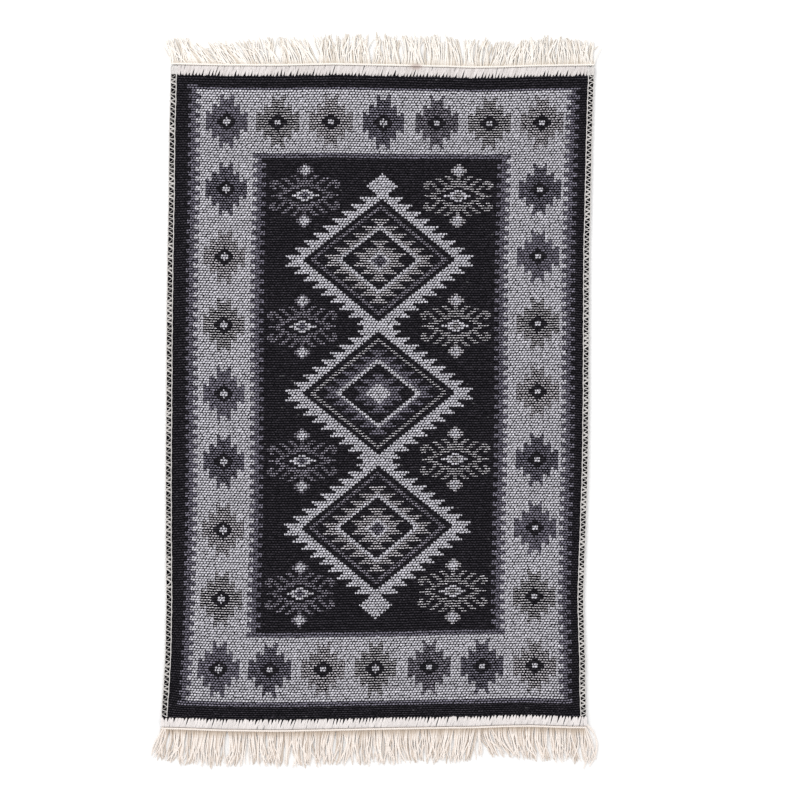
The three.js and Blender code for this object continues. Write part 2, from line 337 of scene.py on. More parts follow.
def paint_rosette(column, row, colour):
    across = np.abs(half_column - column)
    up = np.abs(chart_row - row)
    low = -1
    for top, half_width, horn_from, horn_to in ROSETTE_STEPS:
        step = (up > low) & (up <= top)
        paint(step & (across <= half_width), colour)
        paint(step & between(across, horn_from, horn_to) & (horn_to > 0), colour)
        low = top
    paint(across + 0.95 * up <= ROSETTE_CORE, BLACK)
    paint(across + up <= ROSETTE_EYE, LIGHT)
    paint((across < ROSETTE_PUPIL) & (up < ROSETTE_PUPIL), SLATE)


for place, colour in zip(END_ROSETTE_COLUMNS, ROSETTES_FAR):
    paint_rosette(place, FAR_ROSETTE_ROW, colour)
for place, colour in zip(END_ROSETTE_COLUMNS, ROSETTES_NEAR):
    paint_rosette(place, NEAR_ROSETTE_ROW, colour)
for place, left_colour, right_colour in zip(SIDE_ROSETTE_ROWS, ROSETTES_LEFT, ROSETTES_RIGHT):
    paint_rosette(END_ROSETTE_COLUMNS[0], place, left_colour)
    paint_rosette(END_ROSETTE_COLUMNS[-1], place, right_colour)

# Medallions: a toothed light band, a dashed diamond, a toothed striped band and a striped light diamond.
# Sizes are half widths at the middle row, in floats, and those of the inner stripes are given row by row.
MEDALLION_COLUMN = 68.1
MEDALLION_ROWS = (76, 131, 186)
MEDALLION_REACH, STRIPED_REACH = 26, 17
TOOTHED_LIGHT, OUTER_BLACK, DASHED = 31.3, 25.4, 22.1
TOOTHED_STRIPES, LIGHT_DIAMOND, INNER_BLACK = 18.1, 14.4, 12.5
SOLID_EYE, OPEN_EYE, PUPIL = 4.5, 4.1, 2.6
NECK_ROWS, NECK_HALF = (103.5, 158.5), 5
OUTER_INNER_STRIPES = (3, 2, 1.3, 5.6, 4.4, 8.7, 7.4, 6.4, 6.4, 7.4, 8.4, 4, 5, 5.9, 1.4, 2, 3)
MIDDLE_INNER_STRIPES = (2, 1.3, 6, 5, 3.5, 8.3, 7.2, 6.4, 6.7, 7.6, 8, 4.2, 5, 1.2, 2, 3.5, 0)


def paint_medallion(row, stripe, dash, dash_half, rise_row, band_row, inner_stripes, solid_eye):
    across = np.abs(half_column - MEDALLION_COLUMN)
    down = chart_row - row
    up = np.abs(down)
    rise = np.abs(down - rise_row)
    band = np.abs(down - band_row)
    teeth = 3 * (up // 3) + (2 - up % 3)
    band_teeth = 3 * (band // 3) + 1.05 * (2 - band % 3)
    reach = up <= MEDALLION_REACH
    paint(reach & (across <= TOOTHED_LIGHT - teeth), LIGHT)
    paint(reach & (across <= OUTER_BLACK - rise), BLACK)
    paint(reach & (np.abs(across - (DASHED - rise)) <= dash_half), dash)
    paint((band <= STRIPED_REACH) & (across <= TOOTHED_STRIPES - band_teeth), stripe)
    paint(across <= LIGHT_DIAMOND - rise, LIGHT)
    paint(across <= INNER_BLACK - rise, BLACK)
    for step, half_width in enumerate(inner_stripes):
        paint((down == step - len(inner_stripes) // 2) & (across <= half_width), stripe)
    if solid_eye:
        paint(across + 1.05 * rise <= SOLID_EYE, LIGHT)
    else:
        paint(across + 0.9 * up <= OPEN_EYE, LIGHT)
        paint(across + 0.9 * up <= PUPIL, DIM)


for neck_row in NECK_ROWS:
    neck = np.abs(chart_row - neck_row) <= 0.5
    paint(neck & (np.abs(half_column - MEDALLION_COLUMN) <= NECK_HALF), LIGHT)
for medallion_row in (MEDALLION_ROWS[0], MEDALLION_ROWS[2]):
    paint_medallion(medallion_row, CREAM, LILAC, 1.1, -0.4, 0, OUTER_INNER_STRIPES, False)
paint_medallion(MEDALLION_ROWS[1], SLATE, BRIGHT, 0.9, -0.6, -1, MIDDLE_INNER_STRIPES, True)

# Finials: a light diamond at each end of the chain
# column, row, row of the short stem
FINIALS = ((68.3, 45, 49), (68.0, 217, 213))
FINIAL_HALF, STEM_HALF = 5.4, 2.0
for finial_column, finial_row, stem_row in FINIALS:
    from_finial = np.abs(half_column - finial_column)
    paint(from_finial + np.abs(chart_row - finial_row) <= FINIAL_HALF, LIGHT)
    paint((chart_row == stem_row) & (from_finial <= STEM_HALF), LIGHT)

# Stars: an eye between rayed arrows, with a small bright star above and below
# rows from the middle, rays as ranges either side
STAR_RAYS = [
    (0, ((7.3, 11.1),)),
    (1, ((5.6, 9.0),)),
    (2, ((4.1, 7.4),)),
    (3, ((1.8, 5.2), (6.0, 7.8), (9.5, 11.0))),
    (4, ((0.0, 4.9), (7.0, 8.8), (9.6, 11.8))),
    (5, ((0.0, 2.6), (3.9, 5.8), (7.8, 11.8))),
    (6, ((0.0, 2.8), (4.8, 6.9), (8.7, 10.8))),
    (7, ((0.0, 0.9), (1.8, 3.7), (5.8, 7.8))),
    (8, ((0.0, 0.9), (2.8, 4.8))),
]
# rows from the middle, half width of the small star
STAR_TIP = [(9, 1.8), (10, 2.8), (11, 2.7), (12, 1.8), (13, 0.9)]
STAR_TIP_EDGE = 1.2
STAR_CORE, STAR_EYE = 4.5, 1.9
LEFT_STAR_COLUMN, RIGHT_STAR_COLUMN = 42.8, 93.7
STAR_ROWS = (49, 103, 158, 212)


def paint_star(column, row, colour, tip_colour, eye_colour):
    across = np.abs(half_column - column)
    up = np.abs(chart_row - row)
    for step, rays in STAR_RAYS:
        for ray_from, ray_to in rays:
            paint((up == step) & between(across, ray_from, ray_to), colour)
    for step, half_width in STAR_TIP:
        paint((up == step) & (across <= half_width), tip_colour)
        paint((up == step) & (across <= half_width - STAR_TIP_EDGE), LIGHT)
    paint(across + 1.65 * up <= STAR_CORE, LIGHT)
    paint(across + 1.1 * up <= STAR_EYE, eye_colour)


for star_row in STAR_ROWS:
    paint_star(LEFT_STAR_COLUMN, star_row, LILAC, LILAC, DIM)
    paint_star(RIGHT_STAR_COLUMN, star_row, BRIGHT, BEIGE, BRIGHT)


# The weft floats: each is a short length of cotton yarn that rises over a warp cord and dives again, so it
# shows as a small pill, set brickwise from row to row. Light yarn is full and soft, stripe yarn is thinner.
# width and height in floats and rows, rise in millimetres, slant in radians, colour, spread of tone
YARNS = {
    BLACK: (1.14, 0.64, 0.95, 0.02, (57, 54, 60), 0.22),
    LIGHT: (1.04, 0.94, 1.1, 0.25, (219, 217, 225), 0.09),
    SLATE: (1.00, 0.76, 1.0, 0.12, (137, 133, 147), 0.16),
    DIM: (0.94, 0.54, 1.0, 0.06, (150, 146, 161), 0.18),
    BRIGHT: (1.04, 0.42, 1.1, 0.05, (230, 226, 231), 0.14),
    CREAM: (1.02, 0.54, 1.1, 0.06, (228, 223, 228), 0.12),
    BEIGE: (0.94, 0.60, 1.1, 0.06, (218, 213, 219), 0.12),
    LILAC: (0.94, 0.60, 1.0, 0.1, (156, 151, 163), 0.22),
}

# The weave isn't quite even: its warps wander by up to a float and its wefts bow by up to a row
# row, then the drift across in floats and the drift along in rows, each at the left, middle and right
WEAVE_DRIFT = [
    (0, -0.15, 0.3, 0.45, 0, 0, 0),
    (20, 0, 0.6, 0.3, 0, 0.7, 0.4),
    (48, 0.2, 0.5, 0.1, -0.35, 0.1, 0),
    (76, 0.05, 0.25, 0, -0.65, -0.1, -0.5),
    (104, 0.15, 0.15, 0.1, -0.6, -0.2, -0.75),
    (131, 0.25, 0.3, 0.1, -0.4, -0.2, -0.7),
    (158, 0.5, 0.3, 0.15, -0.65, -0.35, -0.6),
    (186, 0.3, 0.4, 0.1, -0.75, -0.25, -0.5),
    (201, -0.1, 0.35, 0.5, -0.5, -0.1, -0.3),
    (215, -0.5, 0.25, 0.55, -0.35, 0.1, -0.15),
    (230, -0.75, 0.15, 0.6, 0.1, 0.5, 0.4),
    (244, -1, -0.1, 0.3, 0.3, 0.65, 0.45),
    (257, -1, 0, 0.3, 0.85, 0.9, 1),
    (264, -1, 0, 0.3, 0, 0, 0),
]
DRIFT_COLUMNS = (0, 5, 68, 131, 136)
BOW_COLUMN, BOW_WIDTH, BOW_ROWS, BOW_FADE = 97, 13, -0.4, 20
ROW_CENTRE = 0.35
CUT_FLOAT_WIDTH = 0.52
FLOAT_SINK = 0.25 * MM
FLOAT_WANDER = 0.05
FLOAT_GROW = 0.05
FLOAT_TURN = 0.06
ROW_TONE_SPREAD = 0.04
LINT_SHARE = 0.004
LINT_COLOUR = (96, 94, 98)
FIELD_COLUMNS = (25, COLUMNS - 24.5)


def math_node(node, operation, *values):
    sockets = {f"i{number}": value for number, value in enumerate(values)}
    return node("ShaderNodeMath", {"operation": operation}, **sockets).outputs[0]


yarn_material, surface, node = shader("weft_yarn", 0.9, specular=0.03)
yarn_place = node("ShaderNodeTexCoord").outputs["Object"]
yarn_colour = node("ShaderNodeAttribute", {"attribute_name": "yarn_colour"}).outputs["Color"]
yarn_fibres = fibre_noise(node, yarn_place, (700, 2600, 1500), 0.35)
yarn_twist = node(
    "ShaderNodeTexWave",
    {"wave_type": "BANDS", "bands_direction": "DIAGONAL"},
    Vector=node("ShaderNodeMapping", Vector=yarn_place, Scale=(1, 1, 0)).outputs[0],
    Scale=420.0,
    Distortion=1.0,
    Detail=1.0,
).outputs["Fac"]
yarn_rise = node("ShaderNodeAttribute", {"attribute_name": "rise"}).outputs["Fac"]
# Painted shade: each float's colour is darkened towards its base, where it dips among its neighbours
yarn_base_shade = node("ShaderNodeMapRange", Value=yarn_rise, From_Max=0.7, To_Min=0.52).outputs[0]
yarn_fuzz = math_node(node, "MULTIPLY_ADD", yarn_fibres, 0.5, 0.75)
yarn_fuzz_and_painted_shade = math_node(node, "MULTIPLY", yarn_fuzz, yarn_base_shade)
MULTIPLY_COLOURS = {"data_type": "RGBA", "blend_type": "MULTIPLY"}
yarn_mix = node("ShaderNodeMix", MULTIPLY_COLOURS, i0=1.0, i6=yarn_colour, i7=yarn_fuzz_and_painted_shade)
yarn_relief = math_node(node, "ADD", yarn_fibres, yarn_twist)
dress(surface, node, yarn_mix.outputs[2], yarn_relief, 0.45, 0.22 * MM)


def point_attribute(mesh, name, kind, values):
    field = {"FLOAT": "value", "FLOAT_VECTOR": "vector", "FLOAT_COLOR": "color"}[kind]
    layer = mesh.attributes.new(name, kind, "POINT")
    layer.data.foreach_set(field, np.ascontiguousarray(values, np.float32).ravel())


PILL_SHOULDER = 0.27
PILL_CREST = 0.24
pill_points = [
    (-0.5, 0, 0),
    (-PILL_SHOULDER, -0.5, 0),
    (PILL_SHOULDER, -0.5, 0),
    (0.5, 0, 0),
    (PILL_SHOULDER, 0.5, 0),
    (-PILL_SHOULDER, 0.5, 0),
    (-PILL_CREST, 0, 1),
    (PILL_CREST, 0, 1),
]
pill_faces = [
    (0, 1, 6),
    (1, 2, 7, 6),
    (2, 3, 7),
    (3, 4, 7),
    (4, 5, 6, 7),
    (5, 0, 6),
    (0, 5, 4, 3, 2, 1),
]
pill = new_piece("float_shape", pill_points, pill_faces)
point_attribute(pill.data, "rise", "FLOAT", [point[2] for point in pill_points])


def geometry_tree(name, *inputs):
    """A new geometry tree with the given named inputs, and a short way to add its nodes"""
    tree = bpy.data.node_groups.new(name, "GeometryNodeTree")
    tree.interface.new_socket("Geometry", in_out="INPUT", socket_type="NodeSocketGeometry")
    for input_name, kind in inputs:
        tree.interface.new_socket(input_name, in_out="INPUT", socket_type=kind)
    tree.interface.new_socket("Geometry", in_out="OUTPUT", socket_type="NodeSocketGeometry")
    source = tree.nodes.new("NodeGroupInput")
    result = tree.nodes.new("NodeGroupOutput")
    return tree, source.outputs, result.inputs, node_adder(tree)


def end_tree(tree, add, geometry, material, result):
    """Ends a geometry tree with real, smooth meshes in the given material"""
    real = add("GeometryNodeRealizeInstances", Geometry=geometry)
    smooth = add("GeometryNodeSetShadeSmooth", Geometry=real.outputs[0])
    dressed = add("GeometryNodeSetMaterial", Geometry=smooth.outputs[0], Material=material)
    tree.links.new(dressed.outputs[0], result)


def run_tree(piece, tree, **values):
    """Runs a geometry tree on a piece, whose mesh becomes the plain result"""
    modifier = piece.modifiers.new("make", "NODES")
    modifier.node_group = tree
    for item in tree.interface.items_tree:
        key = item.name.replace(" ", "_").lower()
        if item.in_out == "INPUT" and key in values:
            modifier[item.identifier] = values[key]
    bpy.context.view_layer.update()
    depsgraph = bpy.context.evaluated_depsgraph_get()
    mesh = bpy.data.meshes.new_from_object(
        piece.evaluated_get(depsgraph), preserve_all_data_layers=True, depsgraph=depsgraph
    )
    piece.modifiers.clear()
    points = piece.data
    piece.data = mesh
    bpy.data.meshes.remove(points)
    mesh.name = piece.name
    return piece


float_tree, tree_in, tree_out, add = geometry_tree(
    "weft_floats", ("Float shape", "NodeSocketObject"), ("Yarn", "NodeSocketMaterial")
)
shape = add("GeometryNodeObjectInfo", Object=tree_in["Float shape"])
turn = add("GeometryNodeInputNamedAttribute", {"data_type": "FLOAT_VECTOR"}, Name="float_turn")
size = add("GeometryNodeInputNamedAttribute", {"data_type": "FLOAT_VECTOR"}, Name="float_size")
euler = add("FunctionNodeEulerToRotation", Euler=turn.outputs["Attribute"])
spread = add(
    "GeometryNodeInstanceOnPoints",
    Points=tree_in["Geometry"],
    Instance=shape.outputs["Geometry"],
    Rotation=euler.outputs[0],
    Scale=size.outputs["Attribute"],
)
end_tree(float_tree, add, spread.outputs[0], tree_in["Yarn"], tree_out["Geometry"])


rng = np.random.default_rng(7)
drift_rows, *drift_values = np.array(WEAVE_DRIFT).T


def drifted(column, row):
    """Metres across and along the rug where a float of the chart really lies"""
    first, second, third, fourth, fifth = DRIFT_COLUMNS
    left_share = np.clip((third - column) / (third - second), 0, 1)
    right_share = np.clip((column - third) / (fourth - third), 0, 1)
    middle_share = 1 - left_share - right_share
    moved = []
    for parts in (drift_values[:3], drift_values[3:]):
        at_left, at_middle, at_right = (np.interp(row, drift_rows, part) for part in parts)
        near_left = at_left * np.clip((column - first) / (second - first), 0, 1)
        near_right = at_right * np.clip((fifth - column) / (fifth - fourth), 0, 1)
        moved.append(near_left * left_share + near_right * right_share + at_middle * middle_share)
    fade = np.clip(np.minimum(row, ROWS - row) / BOW_FADE, 0, 1)
    bow = BOW_ROWS * np.exp(-(((column - BOW_COLUMN) / BOW_WIDTH) ** 2)) * fade
    return cloth_place(column + moved[0], row + moved[1] + bow)


def weft_floats(name, chosen):
    """One piece of all the floats chosen, each with its own yarn, tone, turn and size"""
    count = int(chosen.sum())
    column = woven_column[chosen]
    half = woven_width[chosen] / 2
    row = woven_row[chosen] + ROW_CENTRE
    kind = woven_yarn[chosen]
    wide, high, rise, slant = np.array([YARNS[k][:4] for k in range(len(YARNS))])[kind].T
    tones = np.array([linear(*YARNS[k][4]) for k in range(len(YARNS))])[kind]
    spreads = np.array([YARNS[k][5] for k in range(len(YARNS))])[kind]
    left_x, left_y = drifted(column - half, row)
    right_x, right_y = drifted(column + half, row)
    _, far_y = drifted(column, row - 0.5)
    _, near_y = drifted(column, row + 0.5)
    wander = rng.normal(0, FLOAT_WANDER, (count, 2))
    width = np.hypot(right_x - left_x, right_y - left_y)
    height = far_y - near_y
    middle = np.stack(
        (
            (left_x + right_x) / 2 + wander[:, 0] * width,
            (left_y + right_y) / 2 + wander[:, 1] * height,
            np.full(count, CLOTH_TOP - FLOAT_SINK),
        ),
        -1,
    )
    grow = rng.normal(1, FLOAT_GROW, (count, 3))
    size = np.stack((width * wide, height * high, rise * MM + FLOAT_SINK), -1) * grow
    turn = np.zeros((count, 3))
    turn[:, 2] = np.arctan2(right_y - left_y, right_x - left_x) + rng.normal(0, FLOAT_TURN, count)
    turn[:, 2] += slant
    row_tone = row_tones[woven_row[chosen]]
    tone = tones * np.exp(rng.normal(0, 1, (count, 1)) * spreads[:, None] + row_tone[:, None])
    lint = (kind == BLACK) & (rng.random(count) < LINT_SHARE)
    tone[lint] = linear(*LINT_COLOUR)
    piece = new_piece(name, middle, [])
    point_attribute(piece.data, "float_size", "FLOAT_VECTOR", size)
    point_attribute(piece.data, "float_turn", "FLOAT_VECTOR", turn)
    point_attribute(piece.data, "yarn_colour", "FLOAT_COLOR", np.concatenate((tone, np.ones((count, 1))), 1))
    return run_tree(piece, float_tree, float_shape=pill, yarn=yarn_material)


whole = yarn[:, 0] == yarn[:, 1]
woven_column = np.concatenate((float_column[whole], half_column[~whole].ravel()))
woven_row = np.concatenate((float_row[whole], chart_row[~whole].ravel()))
woven_yarn = np.concatenate((yarn[whole, 0], yarn[~whole].ravel()))
woven_width = np.where(np.arange(len(woven_row)) < whole.sum(), 1.0, CUT_FLOAT_WIDTH)
row_tones = rng.normal(0, ROW_TONE_SPREAD, ROWS + 6)
in_field = between(woven_row, *FIELD_ROWS) & between(woven_column, *FIELD_COLUMNS)
covered = (woven_column < 0) | (woven_column > COLUMNS) | (woven_row < 0) | (woven_row >= ROWS)
is_light = woven_yarn == LIGHT
is_black = woven_yarn == BLACK
weave = [
    weft_floats("black_floats", is_black & ~covered),
    weft_floats("border_light_floats", is_light & ~in_field),
    weft_floats("border_rosette_floats", ~is_light & ~is_black & ~in_field),
    weft_floats("field_light_floats", is_light & in_field),
    weft_floats("field_stripe_floats", ~is_light & ~is_black & in_field),
]
bpy.data.objects.remove(pill)


# Cotton yarn and thread: the overlocks, headings, ridges and fringes are all sewn or twisted from it. Each
# run is a round tube along its own path, with a twisted ply in its surface that follows the run.
yarn_tube_tree, tree_in, tree_out, add = geometry_tree(
    "yarn_tubes", ("Sides", "NodeSocketInt"), ("Yarn", "NodeSocketMaterial")
)
runs = add("GeometryNodeMeshToCurve", Mesh=tree_in["Geometry"])
level = add("GeometryNodeSetCurveNormal", {"mode": "Z_UP"}, Curve=runs.outputs[0])
run_length = add("GeometryNodeSplineParameter")
kept_length = add(
    "GeometryNodeStoreNamedAttribute",
    {"data_type": "FLOAT", "domain": "POINT"},
    Geometry=level.outputs[0],
    Name="along_run",
    Value=run_length.outputs["Length"],
)
ring = add("GeometryNodeCurvePrimitiveCircle", Resolution=tree_in["Sides"], Radius=1.0)
ring_share = add("GeometryNodeSplineParameter")
kept_share = add(
    "GeometryNodeStoreNamedAttribute",
    {"data_type": "FLOAT", "domain": "POINT"},
    Geometry=ring.outputs[0],
    Name="around_run",
    Value=ring_share.outputs["Factor"],
)
turned_ring = add("GeometryNodeTransform", Geometry=kept_share.outputs[0], Rotation=(0, 0, math.pi / 2))
radius = add("GeometryNodeInputNamedAttribute", {"data_type": "FLOAT"}, Name="run_radius")
tubes = add(
    "GeometryNodeCurveToMesh",
    Curve=kept_length.outputs[0],
    Profile_Curve=turned_ring.outputs[0],
    Scale=radius.outputs["Attribute"],
    Fill_Caps=True,
)
end_tree(yarn_tube_tree, add, tubes.outputs[0], tree_in["Yarn"], tree_out["Geometry"])


def yarn_runs(name, paths, radii, tones, sides, material):
    """One piece of many yarn tubes, along paths in metres with a radius and a tone at each point"""
    points = np.concatenate(paths)
    starts = np.cumsum([0] + [len(path) for path in paths])
    edges = [(i, i + 1) for a, b in zip(starts[:-1], starts[1:]) for i in range(a, b - 1)]
    mesh = bpy.data.meshes.new(name)
    mesh.from_pydata([tuple(p) for p in points], edges, [])
    point_attribute(mesh, "run_radius", "FLOAT", np.concatenate(radii))
    point_attribute(mesh, "run_tone", "FLOAT", np.concatenate(tones))
    piece = bpy.data.objects.new(name, mesh)
    bpy.context.scene.collection.objects.link(piece)
    return run_tree(piece, yarn_tube_tree, sides=sides, yarn=material)


# One small brownish mark by the far end, as in the photo
MARK_AT = (53.0 * MM, 467.6 * MM)
MARK_HALF = (10.5 * MM, 5.6 * MM)
MARK_COLOUR = (202, 182, 174)
MARK_STRENGTH = 0.75


def cotton(name, colour, shade_colour, ply_pitch, plies, shadow=0.72):
    """Twisted cotton: a ply wound along the run, with painted shade in its groove, fine fibres, and warmer,
    darker painted shade on runs of low tone, such as the lower ones
    """
    material, surface, node = shader(name, 0.88, sheen=0.08)
    along = node("ShaderNodeAttribute", {"attribute_name": "along_run"}).outputs["Fac"]
    around = node("ShaderNodeAttribute", {"attribute_name": "around_run"}).outputs["Fac"]
    tone = node("ShaderNodeAttribute", {"attribute_name": "run_tone"}).outputs["Fac"]
    place = node("ShaderNodeTexCoord").outputs["Object"]
    turns = math_node(node, "MULTIPLY", along, 1 / ply_pitch)
    wound = math_node(node, "MULTIPLY_ADD", around, plies, turns)
    ply = math_node(node, "PINGPONG", wound, 0.5)
    ply_height = math_node(node, "SINE", math_node(node, "MULTIPLY", ply, math.pi))
    fibres = fibre_noise(node, place, (1600, 1600, 1600))
    # Painted shade in the groove between the plies
    groove = node("ShaderNodeMapRange", Value=ply_height, From_Max=0.7, To_Min=shadow)
    fuzz = node("ShaderNodeMapRange", Value=fibres, To_Min=0.86, To_Max=1.1)
    shade = math_node(node, "MULTIPLY", groove.outputs[0], fuzz.outputs[0])
    toned = math_node(node, "MULTIPLY", shade, tone)
    # Painted shade: a low run tone mixes in the warmer, darker shade colour
    warmth = node("ShaderNodeMapRange", Value=tone, From_Min=0.7)
    dye_and_painted_shade = node(
        "ShaderNodeMix",
        {"data_type": "RGBA"},
        i0=warmth.outputs[0],
        i6=(*linear(*shade_colour), 1),
        i7=(*linear(*colour), 1),
    )
    from_mark = node(
        "ShaderNodeMapping",
        {"vector_type": "TEXTURE"},
        Vector=place,
        Location=(MARK_AT[0] + shift_across, MARK_AT[1] + shift_along, 0),
        Scale=(*MARK_HALF, 1),
    ).outputs[0]
    mark_distance = node("ShaderNodeVectorMath", {"operation": "LENGTH"}, i0=from_mark).outputs["Value"]
    marked = node(
        "ShaderNodeMapRange",
        {"interpolation_type": "SMOOTHSTEP"},
        Value=mark_distance,
        From_Min=1.2,
        From_Max=0.3,
        To_Max=MARK_STRENGTH,
    )
    soiled = node(
        "ShaderNodeMix",
        {"data_type": "RGBA"},
        i0=marked.outputs[0],
        i6=dye_and_painted_shade.outputs[2],
        i7=(*linear(*MARK_COLOUR), 1),
    )
    mix = node("ShaderNodeMix", MULTIPLY_COLOURS, i0=1.0, i6=soiled.outputs[2], i7=toned)
    relief = math_node(node, "MULTIPLY_ADD", fibres, 0.35, ply_height)
    dress(surface, node, mix.outputs[2], relief, 0.6, 0.25 * MM)
    return material


# Side overlocks: cream thread sewn over each cut side. A chained line runs along the inside, a looped cord
# holds the cut edge, and a thread, doubled here and there, zigzags between them and down the cloth's side.
BINDING_WIDTH = 9.5 * MM
END_MARGIN = 0.6 * MM
CORNER_LENGTH = 13.0 * MM
CORNER_PITCH_MM = 1.05
CORNER_RADIUS = 0.6 * MM
SWELL = 0.12
CLOTH_FACE = cloth_high.z
STITCH_PITCH = 7.0 * MM
LINE_AT = 0.95 * MM
LINE_RADIUS = 0.7 * MM
LINE_HEIGHT = CLOTH_FACE + 0.7 * MM
EDGE_AT = 8.7 * MM
LOWER_EDGE_AT = EDGE_AT + 0.1 * MM
EDGE_RADIUS = 0.6 * MM
EDGE_HEIGHT = CLOTH_FACE + 0.35 * MM
LOWER_EDGE_HEIGHT = 1.5 * MM
ZIGZAG_RADIUS = 0.58 * MM
ZIGZAG_DOUBLE = 1.0 * MM
DOUBLE_SHARE = 0.3
STEPS_PER_STITCH = 8
# The left side's thread is drawn tighter, so it sinks in on each way back and shows more of the black cloth,
# and there it is painted darker as shade
BACK_RADIUS = {LEFT: 0.82, RIGHT: 1.0}
BACK_SHADE_TONE = {LEFT: 0.74, RIGHT: 1.0}
STITCH_SWAY = {LEFT: 0.1, RIGHT: 0.06}

overlock_material = cotton("overlock_thread", (224, 220, 217), (202, 196, 190), 2.6 * MM, 2)

# millimetres across from the inner edge, share of a stitch along, millimetres over the floor
ZIGZAG = [
    (1.0, 0.00, 5.0),
    (2.6, 0.10, 5.2),
    (5.2, 0.27, 5.1),
    (8.0, 0.43, 5.2),
    (9.2, 0.47, 4.0),
    (9.3, 0.50, 1.2),
    (9.2, 0.53, 4.0),
    (8.0, 0.57, 5.2),
    (5.2, 0.73, 5.1),
    (2.6, 0.90, 5.2),
]


def overlock(side, name, node_name):
    low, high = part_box(node_name)
    start = low.y + END_MARGIN
    stop = high.y - END_MARGIN
    corner_from = stop - CORNER_LENGTH
    stitches = int((corner_from - start) / STITCH_PITCH)
    pitch = (corner_from - start) / stitches
    paths, radii, tones = [], [], []

    def lay(out, along, up, radius, tone):
        across = side_edge(side, along) + side * out
        paths.append(np.stack((across, along, up), -1))
        radii.append(np.broadcast_to(radius, along.shape))
        tones.append(np.full(along.shape, tone))

    along = np.linspace(start, stop, stitches * STEPS_PER_STITCH)
    phase = 2 * math.pi * (along - start) / pitch
    bulge = SWELL * np.cos(phase)
    wander = 0.18 * MM * np.sin(phase * 0.37) + 0.12 * MM * np.sin(phase * 0.11 + 1)
    level = np.ones(along.shape)
    lay(LINE_AT + wander, along, LINE_HEIGHT * level, LINE_RADIUS * (1 + bulge), 1.0)
    lay(EDGE_AT + wander, along, EDGE_HEIGHT * level, EDGE_RADIUS * (1 - bulge), 1.04)
    lay(LOWER_EDGE_AT * level, along, LOWER_EDGE_HEIGHT * level, EDGE_RADIUS * (1 + bulge), 0.98)
    out, share, up = np.array(ZIGZAG).T
    stitch = np.repeat(np.arange(stitches), len(out))
    jitter = np.repeat(rng.normal(0, STITCH_SWAY[side], stitches), len(out))
    out_all = np.tile(out, stitches) * MM
    along_all = start + (stitch + np.tile(share, stitches) + jitter * (out_all > 3 * MM)) * pitch
    going_back = np.tile(share, stitches) > 0.5
    thread = ZIGZAG_RADIUS * np.where(going_back, BACK_RADIUS[side], 1)
    lay(out_all, along_all, np.tile(up, stitches) * MM, thread, np.where(going_back, BACK_SHADE_TONE[side], 1))
    for doubled in np.flatnonzero(rng.random(stitches) < DOUBLE_SHARE):
        chosen = stitch == doubled
        lay(out_all[chosen], along_all[chosen] + ZIGZAG_DOUBLE, up[: chosen.sum()] * MM, ZIGZAG_RADIUS, 0.94)
    # The stitches lie close side by side where they pass the far heading
    for out_mm in np.arange(-0.5, BINDING_WIDTH / MM - 0.1, CORNER_PITCH_MM):
        along = np.linspace(corner_from + rng.uniform(0, 1.2) * MM, stop - rng.uniform(0, 1.8) * MM, 6)
        up = CLOTH_FACE + np.array((0.1, 0.75, 0.95, 0.95, 0.8, 0.2)) * MM
        sway = rng.normal(0, 0.12, 6) * MM
        lay(out_mm * MM + sway, along, up, CORNER_RADIUS, rng.uniform(0.98, 1.12))
    piece = yarn_runs(name, paths, radii, tones, 6, overlock_material)
    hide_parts(node_name)
    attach(piece, "root")
    return piece


overlocks = [
    overlock(LEFT, "left_overlock_thread", "overlock_left"),
    overlock(RIGHT, "right_overlock_thread", "overlock_right"),
]


# Headings: each cut end is overcast with close off-white cotton stitches. They lie in fingers with rounded
# tips, pulled apart here and there so that the black cloth shows between them, and wrap over the cut end.
FINGER_PITCH = 4.6 * MM
THREADS_PER_FINGER = 4
HEADING_RADIUS = 0.62 * MM
HEADING_LEAN, LEAN_SPREAD = 0.3, 0.06
CORNER_FADE = 12 * MM
# Painted light: the near heading's threads are painted lighter, standing in for light the lamp doesn't give
# them
NEAR_HEADING_LIGHT_TONE = 1.11
SLIT_RANGE = (1.6, 10.5)
CLOSED_SHARE, CLOSED_SLIT = 0.15, 0.5 * MM
FINGER_REACH = (0.2, 1.5)
TIP_ROUNDING, TIP_SPREAD = 1.1 * MM, 0.15 * MM
# millimetres outside the field, from the third point of a stitch on, and over the cloth's face at every point
STITCH_OUT = (3, 6, 9, 11.5, 12.3, 12.3)
STITCH_HEIGHTS = (-0.6, 0.5, 0.8, 0.85, 0.85, 0.75, -0.6, -3.2)
STITCH_SWELL = (0.6, 0.9, 1, 1, 1, 1, 1, 0.9)

heading_material = cotton("heading_thread", (236, 230, 228), (222, 212, 206), 2.2 * MM, 2, 0.8)


